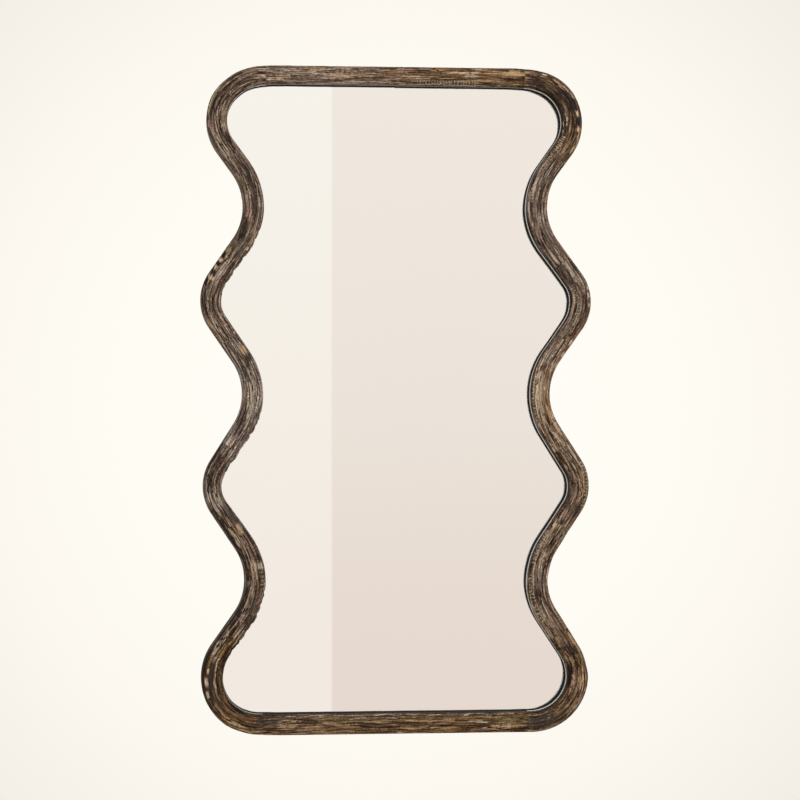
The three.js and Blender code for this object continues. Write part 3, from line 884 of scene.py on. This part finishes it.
def piece_line(name):
    """Stations of a wooden piece: place along it, points, ways to the mirror, side and distance down it."""
    half_gap = glue_line / 2
    if name.endswith("_rail"):
        top = name == "top_rail"
        ends = [side.joints[0] if top else side.length - side.joints[-1] for side in SIDES.values()]
        places = stations_between(half_gap - ends[0], ends[1] - half_gap)
        points = np.stack([places, np.full(len(places), rail_line if top else -rail_line)], 1)
        to_mirror = np.tile([0.0, -1.0 if top else 1.0], (len(places), 1))
        whole = np.where(places < 0, SIDES["left"].length, SIDES["right"].length)
        distance = abs(places) if top else whole - abs(places)
        return places, points, to_mirror, np.where(places < 0, -1, 1), distance
    side_name, bend = name.split("_", 1)
    side = SIDES[side_name]
    k = [row[0] for row in BENDS].index(bend)
    places = stations_between(side.joints[k] + half_gap, side.joints[k + 1] - half_gap)
    points, to_mirror = side.at(places)
    return places, points, to_mirror, np.full(len(places), side.sign), places


def by_side(table, sign, distance):
    """Values of a table for points on either side, at their distances down it."""
    left, right = (np.interp(distance / MM, list(table[side]), list(table[side].values())) for side in SIDES)
    return np.where(sign < 0, left, right)


def wall_shares(square, v):
    """How far down the inner wall each point lies, from 0 to 1."""
    top = inner_dome_drop - square_rise * square[:, None]
    return np.clip((v - top) / (glass_front - top), 0, 1) * SECTION[:, 4]


def joint_tone(name, from_first, from_last):
    """Lightness, warmth and contrast along a piece, meeting its neighbours' halfway at the joints."""
    order = list(TONES)
    k = order.index(name)
    own = np.array(TONES[name])
    across = eased(from_first / (from_first + from_last), 0.3, 0.7) - 0.5
    tone = own + across[:, None] * np.array(LEANS.get(name, (0.0, 0.0, 0.0)))
    ends = (from_first, from_last)
    if name.startswith("left") or name == "bottom_rail":
        ends = ends[::-1]
    for neighbour, gone in zip((order[k - 1], order[(k + 1) % len(order)]), ends):
        near = 1 - eased(gone, 0.0, tone_reach)
        tone = tone + near[:, None] * (np.array(TONES[neighbour]) - own) / 2
    return tone.T


def brushed_relief(along, run, seed):
    """The brushed grain: 0 at the bottom of its furrows, 1 on its ridges."""
    drift = run + 1.6 * MM * noise(along / 0.055, run / 0.012, seed + 1)
    straight, drifting = noise_over(along, run, seed), noise_over(along, drift, seed)
    rough_parts = eased(straight(0.045, 0.012, 17), -0.25, 0.45)
    grooves = 0.42 * drifting(0.090, 0.0050, 2, 2) + 0.66 * drifting(0.062, 0.0025, 3, 3)
    grooves = grooves + 0.46 * drifting(0.036, 0.0014, 4, 2)
    grooves = grooves + 0.42 * rough_parts * drifting(0.0050, 0.0034, 14, 2)
    pale_lines = eased(0.08 - abs(drifting(0.150, 0.0050, 15, 2)), 0.0, 0.05)
    pale_lines = pale_lines * eased(drifting(0.050, 0.006, 16), -0.1, 0.3)
    dark_lines = eased(0.07 - abs(drifting(0.170, 0.0060, 18, 2)), 0.0, 0.05)
    dark_lines = dark_lines * eased(drifting(0.060, 0.007, 19), -0.2, 0.2)
    return np.clip(eased(grooves, -0.80, 0.80) + 0.36 * pale_lines - 0.42 * dark_lines, 0, 1)


def gouge_bites(down, u, v, seed):
    """How much is scooped out of the left side's inner edge."""
    gouged = np.zeros(u.shape)
    end_slope = 7
    for start, end in GOUGED:
        gouged = np.maximum(gouged, band(down / MM, start + end_slope, end - end_slope, end_slope))
    carved = noise_over(down, v, seed)
    scoops = 0.36 + 0.80 * carved(0.0105, 0.060, 8) + 0.34 * carved(0.0042, 0.04, 9)
    edge_zone = eased(u, *gouge_edge) * (v <= glass_front + 0.1 * MM)
    return gouge_depth * gouged * np.clip(scoops, 0, 1.0) * edge_zone


def end_easing(places):
    """How far the surface falls away at a piece's two rounded ends."""
    arris = 0.30 * MM
    end_distance = np.minimum(places - places[0], places[-1] - places)
    inside = np.clip(1 - end_distance / arris, 0, 1)[:, None]
    return arris * (1 - np.sqrt(np.clip(1 - inside ** 2, 0, 1))) * (SECTION[:, 2] > 0)


def worn_surface_and_painted_shade(name, places, sign, distance, u, v, share):
    """How far a piece's surface lies inside the plain moulding, and the fields that its colour needs,
    painted shade and highlights along the dome's shoulders among them.
    """
    seed = 101 + 13 * sorted(TONES).index(name)
    run = np.tile(SECTION_RUN, (len(places), 1))
    along, down, sign = (np.tile(each[:, None], (1, len(SECTION))) for each in (places, distance, sign))
    over = noise_over(along, run, seed)

    relief = brushed_relief(along, run, seed)
    colour, cover, mark_depth = paint_marks(sign, down, u, seed)
    furrow = (1 - relief) ** 1.6 * furrow_depth
    flats = flat_depth * (1 - over(0.045, 0.011, 5))
    nibbles = nibble_depth * eased(over(0.0042, 0.006, 6), 0.1, 0.9)
    may_cut = SECTION[:, 2] * (1 - 0.7 * eased(share, 0.0, 0.05))
    cut = (furrow + flats + nibbles + mark_depth) * may_cut + end_easing(places)
    bite = gouge_bites(down, u, v, seed) * (sign < 0)

    lightness, warmth, contrast = joint_tone(name, places - places[0], places[-1] - places)
    relief = 0.5 + (relief - 0.5) * contrast[:, None]
    patches = 1 + 0.20 * over(0.05, 0.014, 12)
    tint = 1 + warmth[:, None] * (warm_tint - 1)
    # painted shade along the dome's inner and outer shoulders, and a painted highlight where the outer table
    # is below 0
    shade = by_side(INNER_SHADE, sign, down) * eased(u, *inner_shoulder)
    shade = shade + by_side(OUTER_SHADE, sign, down) * eased(-u, *outer_shoulder)
    shade = np.clip(shade * (1 + 0.4 * over(0.02, 0.02, 21)), -0.5, 0.95)
    tone = lightness[:, None, None] * (patches * (1 - shade))[..., None] * tint[:, None, :]
    return cut, bite, relief, tone, colour, cover


def pocket_outline():
    """The tenon's outline with its clearance, as (u, v) points."""
    round_radius = tenon_thickness / 2 + tenon_clearance
    reach = tenon_width / 2 - tenon_thickness / 2
    middle = (tenon_inset - half_width, tenon_cover + tenon_thickness / 2)
    points = []
    for end in (1, -1):
        for angle in arc(end * pi / 2, (end - 2) * pi / 2, 8):
            points.append((middle[0] + end * reach + round_radius * cos(angle),
                           middle[1] + round_radius * sin(angle)))
    return np.array(points)


POCKET = pocket_outline()


def end_cap(points, faces, ring_start, outline, frame_at, inwards, at_start):
    """Closes one end of a piece with a flat face that has the tenon's pocket in it."""
    point, to_mirror = frame_at
    base, count = len(points), len(POCKET)
    for depth in (0.0, tenon_length / 2 + tenon_clearance):
        for u, v in POCKET:
            place = point + to_mirror * u + inwards * depth
            points.append((place[0], v - rail_depth + frame_back, place[1] + middle_height))

    def add_face(corners, forwards):
        faces.append(tuple(corners if forwards else reversed(corners)))

    outer = [(u, v, 0.0) for u, v in outline]
    inner = [(u, v, 0.0) for u, v in POCKET]
    for triangle in tessellate_polygon([outer, inner]):
        one, two, three = ((outer + inner)[k] for k in triangle)
        area = (two[0] - one[0]) * (three[1] - one[1]) - (three[0] - one[0]) * (two[1] - one[1])
        corners = [ring_start + k if k < len(outer) else base + k - len(outer) for k in triangle]
        add_face(corners, (area > 0) == at_start)
    for k in range(count):
        after = (k + 1) % count
        add_face((base + k, base + after, base + count + after, base + count + k), at_start)
    add_face(range(base + count, base + 2 * count), at_start)


# faces of the wood that meet at more than this angle have a sharp edge
wood_edge_angle = radians(55)


def sweep_faces(count, around):
    """Quads between rings of points that follow on each other."""
    ring = np.arange(around)
    after = (ring + 1) % around
    starts = np.arange(count - 1)[:, None] * around
    quads = np.stack([starts + ring, starts + after, starts + around + after, starts + around + ring], 2)
    return [tuple(quad) for quad in quads.reshape(-1, 4).tolist()]


def add_wooden_piece(name):
    """One worn length of the moulding, with a tenon's pocket in either end."""
    places, line, to_mirror, sign, distance = piece_line(name)
    count, around = len(places), len(SECTION)
    square = by_side(SQUARENESS, sign, distance)
    plain, squarer = SECTION[:, :2][None], SQUARE_SECTION[:, :2][None]
    outline = plain + square[:, None, None] * (squarer - plain)
    out = SECTION_OUT[None] + square[:, None, None] * (SQUARE_OUT - SECTION_OUT)[None]
    out = unit(out)
    share = wall_shares(square, outline[..., 1])
    cut, bite, relief, tone, colour, cover = worn_surface_and_painted_shade(
        name, places, sign, distance, outline[..., 0], outline[..., 1], share)
    inner = MM * by_side(INNER_TRIM, sign, distance)[:, None] * SECTION[:, 4]
    outer = MM * by_side(OUTER_TRIM, sign, distance)[:, None]
    trim = inner * eased(outline[..., 0], trim_from, half_width)
    trim = trim - outer * eased(-outline[..., 0], trim_from, half_width)
    u = outline[..., 0] - out[..., 0] * cut - bite - trim
    u = np.maximum(u, outer_inset - half_width)
    v = outline[..., 1] - out[..., 1] * cut
    x = line[:, :1] + to_mirror[:, :1] * u
    y = v - rail_depth + frame_back
    z = line[:, 1:] + to_mirror[:, 1:] * u + middle_height
    points = [tuple(point) for point in np.stack([x, y, z], 2).reshape(-1, 3).tolist()]
    faces = sweep_faces(count, around)

    for station, following, at_start in ((0, 1, True), (count - 1, count - 2, False)):
        inwards = unit(line[following] - line[station])
        rim = np.stack([u[station], v[station]], 1)
        frame_at = (line[station], to_mirror[station])
        end_cap(points, faces, station * around, rim, frame_at, inwards, at_start)

    def field(values, at_ends):
        """Values for the swept points, and one value for all points of the end caps."""
        extra = len(points) - count * around
        return np.vstack([values.reshape(count * around, -1), np.tile(at_ends, (extra, 1))])

    tree = np.full((count, around), 3.7 * sorted(TONES).index(name))
    grain = np.dstack([np.tile(places[:, None], (1, around)), np.tile(SECTION_RUN, (count, 1)), tree])
    piece = mesh_object(name, points, faces, MATERIALS["wood"])
    for field_name, kind, key, values in (
            ("grain", "FLOAT_VECTOR", "vector", field(grain, (0, 0, 0))),
            ("relief", "FLOAT", "value", field(relief, 0.4)),
            ("smooth_part", "FLOAT", "value", field(np.tile(SECTION[:, 3], count), 1)),
            ("wall_share", "FLOAT", "value", field(share, 0)),
            # the brightness of the painted reflection along the top of the inner wall
            ("painted_lip_reflection", "FLOAT", "value", np.full(len(points), PAINTED_LIP_REFLECTIONS.get(name, 1.0))),
            ("tone", "FLOAT_COLOR", "color", field(np.dstack([tone, np.ones(cover.shape)]), np.ones(4))),
            ("paint", "FLOAT_COLOR", "color", field(np.dstack([colour, cover]), np.zeros(4)))):
        attribute = piece.data.attributes.new(field_name, kind, "POINT")
        attribute.data.foreach_set(key, values.astype(np.float32).ravel())
    piece.data.shade_smooth()
    piece.data.set_sharp_from_angle(angle=wood_edge_angle)
    stand_in_for(piece, name)


for wooden_name in TONES:
    add_wooden_piece(wooden_name)

# ------------------------ screws, hangers and bumpers

# faces of the hardware that meet at more than this angle have a sharp edge
hardware_edge_angle = radians(38)


def strip(faces, one, two, closed=True):
    """Quads between two loops of point numbers; a loop of one point is a pole."""
    steps = max(len(one), len(two))
    for k in range(steps if closed else steps - 1):
        after = (k + 1) % steps
        corners = [one[k % len(one)], one[after % len(one)], two[after % len(two)], two[k % len(two)]]
        faces.append(tuple(dict.fromkeys(corners)))


def hardware_object(name, points, faces, slot):
    """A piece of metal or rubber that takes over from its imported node, with its faces turned outwards."""
    piece = mesh_object(name, [tuple(point) for point in points], faces, MATERIALS[slot])
    shell = bmesh.new()
    shell.from_mesh(piece.data)
    bmesh.ops.recalc_face_normals(shell, faces=shell.faces)
    shell.to_mesh(piece.data)
    shell.free()
    piece.data.shade_smooth()
    piece.data.set_sharp_from_angle(angle=hardware_edge_angle)
    stand_in_for(piece, name)


def turned(rows, steps):
    """Points and faces turned about the Y direction from rows of (radius, y)."""
    points, faces, rings = [], [], []
    for radius, y in rows:
        count = steps if radius > 0 else 1
        rings.append(range(len(points), len(points) + count))
        for k in range(count):
            angle = 2 * pi * k / steps
            points.append((radius * cos(angle), y, radius * sin(angle)))
    for one, two in zip(rings, rings[1:]):
        strip(faces, one, two)
    return np.array(points), faces


def middle_of(node):
    """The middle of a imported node, seen from the front."""
    low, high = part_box(node)
    return (low.x + high.x) / 2, (low.z + high.z) / 2


def add_screw(node, turn):
    """A pan-headed wood screw with a cross recess, its head towards the wall."""
    rows = [(0.0, -screw_length)]
    rows_down = 54
    for k in range(1, rows_down + 1):
        y = -screw_length * (1 - k / rows_down)
        rows.append((screw_shank_radius * min(1.0, (y + screw_length) / screw_tip), y))
    rows += [(screw_head_radius - 0.0001, 0.0), (screw_head_radius, 0.0001)]
    crown_steps = 30
    for k in range(crown_steps + 1):
        radius = screw_head_radius * (1 - k / crown_steps)
        rise = (1 - (radius / screw_head_radius) ** 2.6) ** 0.45
        rows.append((radius, screw_rim_height + (screw_head_height - screw_rim_height) * rise))
    points, faces = turned(rows, 48)

    x, y, z = points.T
    turns = (y / screw_pitch - np.arctan2(z, x) / (2 * pi)) % 1
    ridge = np.clip(1 - 1.6 * np.abs(2 * turns - 1), 0, 1)
    core = screw_core_radius / screw_shank_radius
    threaded = y < -0.0012
    narrower = np.where(threaded, core + (1 - core) * ridge, 1.0)

    one = x * cos(turn) + z * sin(turn)
    other = z * cos(turn) - x * sin(turn)
    nearer, farther = np.minimum(abs(one), abs(other)), np.maximum(abs(one), abs(other))
    arm = 1 - eased(nearer, recess_half_width, recess_half_width + 0.0001)
    arm = arm * (1 - eased(farther, recess_arm - 0.0001, recess_arm)) * (y > screw_rim_height)
    dent = arm * (recess_depth - 0.3 * farther)

    centre_x, centre_z = middle_of(node)
    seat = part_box(node)[1].y - screw_head_height
    points = np.stack([x * narrower + centre_x, y - dent + seat, z * narrower + centre_z], 1)
    hardware_object(node, points, faces, "screw_steel")


def strap_outlines(half):
    """The plate's outline below the ring's pivot, and its holes': each point's x and z, and its way out
    of the steel."""
    plate = [(-half, 0.0, -1.0, 0.0)]
    for side, first in ((-1, pi), (1, 1.5 * pi)):
        for angle in arc(first, first + pi / 2, 10):
            out = (cos(angle), sin(angle))
            plate.append((side * (half - strap_end_radius) + strap_end_radius * out[0],
                          strap_end_radius - strap_length + strap_end_radius * out[1], *out))
    plate.append((half, 0.0, 1.0, 0.0))
    circle = [(cos(angle), sin(angle)) for angle in arc(0, 2 * pi, 32)[:-1]]
    holes = [[(strap_hole_radius * x, strap_hole_radius * z - down, -x, -z) for x, z in circle]
             for down in strap_holes]
    return [plate, *holes]


def add_strap(node):
    """A steel strip with rounded lower corners and two holes, rolled up round the ring's straight side."""
    low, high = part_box(node)
    half = (high.x - low.x) / 2
    edge, thick = strap_edge, strap_thickness
    centre_x = middle_of(node)[0]
    pivot_z = high.z - barrel_radius
    points, faces = [], []

    def loop(places):
        """Adds points given as (x, depth from the front, z)."""
        begin = len(points)
        points.extend((centre_x + x, low.y + depth, pivot_z + z) for x, depth, z in places)
        return list(range(begin, len(points)))

    layers = ((edge, 0.0), (0.0, edge), (0.0, thick - edge), (edge, thick))
    rims = [[loop([(x - inset * out_x, depth, z - inset * out_z) for x, z, out_x, out_z in outline])
             for inset, depth in layers] for outline in strap_outlines(half)]
    for one_rim in rims:
        for one, two in zip(one_rim, one_rim[1:]):
            strip(faces, one, two, closed=one_rim is not rims[0])
    for layer in (0, 3):
        loops = [one_rim[layer] for one_rim in rims]
        numbers = [number for one in loops for number in one]
        flat = [[(points[n][0], points[n][2], 0.0) for n in one] for one in loops]
        faces.extend(tuple(numbers[k] for k in triangle) for triangle in tessellate_polygon(flat))

    # the roll, from the plate's top over the ring and back down behind it
    top_corners = ((1, 0), (0, 0), (0, -1), (1, -1), (2, -1), (3, -1), (3, 0), (2, 0))
    ring = [rims[0][layer][end] for layer, end in top_corners]
    shape = [(-half, edge), (-half + edge, 0), (half - edge, 0), (half, edge),
             (half, thick - edge), (half - edge, thick), (-half + edge, thick), (-half, thick - edge)]
    for angle in arc(0, barrel_sweep, 44)[1:]:
        following = loop([(x, barrel_radius - (barrel_radius - depth) * cos(angle),
                           (barrel_radius - depth) * sin(angle)) for x, depth in shape])
        strip(faces, ring, following)
        ring = following
    faces.append(tuple(ring))
    hardware_object(node, points, faces, "hanger_steel")


def add_ring(node, strap):
    """A D-ring of round wire, hanging by its straight side."""
    centre_x = middle_of(strap)[0]
    pivot_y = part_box(strap)[0].y + barrel_radius
    pivot_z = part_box(strap)[1].z - barrel_radius
    w, r = ring_half_width, ring_corner_radius
    runs = [((w - r, -r), r, pi / 2, 0.0, 10), ((0.0, -ring_leg), w, 0.0, -pi, 56),
            ((r - w, -r), r, pi, pi / 2, 10)]
    points, faces, rings = [], [], []
    around = 20
    for (middle_x, middle_z), radius, first, last, steps in runs:
        for angle in arc(first, last, steps):
            rings.append(range(len(points), len(points) + around))
            for turn in arc(0, 2 * pi, around)[:-1]:
                reach = radius + ring_wire_radius * cos(turn)
                points.append((centre_x + middle_x + reach * cos(angle),
                               pivot_y + ring_wire_radius * sin(turn),
                               pivot_z + middle_z + reach * sin(angle)))
    for one, two in zip(rings, rings[1:] + rings[:1]):
        strip(faces, one, two)
    hardware_object(node, points, faces, "hanger_steel")


def add_bumper(node):
    """A rubber foot: a blunt cone with rounded edges and a dished tip."""
    rows = [(0.0, 0.0), (bumper_radius - 0.0003, 0.0), (bumper_radius - 0.0001, 0.0002)]
    rounding = 0.0007
    for angle in arc(0, pi / 2, 6):
        rows.append((bumper_tip_radius - rounding * (1 - cos(angle)),
                     bumper_height - rounding * (1 - sin(angle))))
    rows += [(0.0030, bumper_height), (0.0027, bumper_height - 0.0002), (0.0024, bumper_height - 0.0010),
             (0.0, bumper_height - 0.0012)]
    points, faces = turned(rows, 48)
    centre_x, centre_z = middle_of(node)
    points = points + np.array([centre_x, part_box(node)[0].y, centre_z])
    hardware_object(node, points, faces, "rubber")


screw_turns = random.Random(5)
for node_name, packed in list(frame["nodes"].items()):
    if node_name == "mirror_glass":
        packed.material_slots[0].material = MATERIALS["mirror"]
    elif node_name == "backing_board":
        packed.material_slots[0].material = MATERIALS["hardboard"]
    elif "tenon" in node_name:
        packed.material_slots[0].material = MATERIALS["beech"]
    elif "bumper" in node_name:
        add_bumper(node_name)
    elif "screw" in node_name:
        add_screw(node_name, screw_turns.uniform(0, pi / 2))
    elif "strap" in node_name:
        add_strap(node_name)
    elif "ring" in node_name:
        add_ring(node_name, node_name.replace("ring", "strap"))

# ------------------------ floor, lamps and surroundings

floor_drop = 1.45
floor_reach_back = 3.0
floor_reach_front = 5.0
floor_half_width = 5.0


def add_floor():
    """A pale floor under the hanging mirror, below the picture."""
    s = Shader(bpy.data.materials.new("pale_floor"))
    colour = s.blend(s.noise(s.place(), 0.8, detail=1), (238, 234, 226), (242, 238, 231))
    z = middle_height - floor_drop
    corners = [(-floor_half_width, -floor_reach_front, z), (floor_half_width, -floor_reach_front, z),
               (floor_half_width, floor_reach_back, z), (-floor_half_width, floor_reach_back, z)]
    mesh_object("floor", corners, [(0, 1, 2, 3)], s.surface(colour, 0.9))


def add_lamp(name, place, target, size, power, colour):
    """A round lamp at a place, turned towards a target."""
    data = bpy.data.lights.new(name, "AREA")
    data.shape = "DISK"
    data.size = size
    data.energy = power
    data.color = colour
    lamp = bpy.data.objects.new(name, data)
    lamp.location = place
    direction = np.array(target) - np.array(place)
    lamp.rotation_euler = (atan2(hypot(direction[0], direction[1]), -direction[2]), 0,
                           atan2(direction[1], direction[0]) - pi / 2)
    bpy.context.scene.collection.objects.link(lamp)


def add_surroundings():
    """What the rays that miss everything see: behind the mirror a cream wall, and in front of it the room
    that the mirror shows, in two tones that meet on an upright line. The light on surfaces is even."""
    world = bpy.data.worlds.new("surroundings")
    bpy.context.scene.world = world
    s = Shader(world)
    toward = s.node("SeparateXYZ", {0: s.node("TexCoord").outputs["Generated"]}).outputs
    x, y, z = toward[0], toward[1], toward[2]
    depth = s.math("MAXIMUM", s.math("ABSOLUTE", y), 0.02)
    sideways = s.math("DIVIDE", x, depth)
    upward = s.math("DIVIDE", z, depth)

    # the wall: a painted pool of light, brightest behind the mirror, darker to the corners
    off_centre = s.math("SUBTRACT", sideways, tan(camera_yaw))
    square = s.math("ADD", s.math("MULTIPLY", off_centre, off_centre), s.math("MULTIPLY", upward, upward))
    radius = s.math("SQRT", square)
    wall = s.ramp(s.math("MULTIPLY", radius, 2.0), [
        (0.0, (255, 253, 246)),
        (0.24, (255, 252, 244)),
        (0.36, (252, 248, 240)),
        (0.52, (241, 237, 228)),
        (1.0, (236, 231, 222)),
    ])

    # the room: left of the line lit by a window, right of it in shade, both a little darker lower down
    step_at = 0.060
    step_softness = 0.0007
    lower = s.spread(upward, 0.16, -0.16)
    bright_tone = s.blend(lower, (252, 248, 239), (247, 238, 230))
    shade_tone = s.ramp(lower, [
        (0.0, (245, 237, 227)),
        (0.35, (242, 233, 225)),
        (0.55, (240, 231, 222)),
        (1.0, (235, 221, 211)),
    ])
    across_line = s.spread(sideways, step_at - step_softness, step_at + step_softness)
    room = s.blend(across_line, bright_tone, shade_tone)

    facing_wall = s.spread(y, -0.02, 0.02)
    seen = s.blend(facing_wall, room, wall)

    ambient = s.blend(s.spread(z, -0.6, 0.8), (176, 172, 166), (214, 214, 214))
    seen_light = s.node("Background", {0: seen, 1: 1.0}).outputs[0]
    ambient_light = s.node("Background", {0: ambient, 1: 0.82}).outputs[0]
    path = s.node("LightPath").outputs
    plainly = s.math("MAXIMUM", path["Is Camera Ray"],
                     s.math("MAXIMUM", path["Is Glossy Ray"], path["Is Transmission Ray"]))
    both = s.node("MixShader", {0: plainly, 1: ambient_light, 2: seen_light}).outputs[0]
    s.node("OutputWorld", {0: both})


add_floor()
frame_centre = (0.0, 0.0, middle_height)
add_lamp("key", (2.3, -3.2, middle_height + 2.2), frame_centre, 1.8, 78, (1.0, 0.97, 0.93))
add_lamp("fill", (-2.6, -3.0, middle_height + 0.6), frame_centre, 2.4, 20, (0.94, 0.97, 1.0))
add_surroundings()
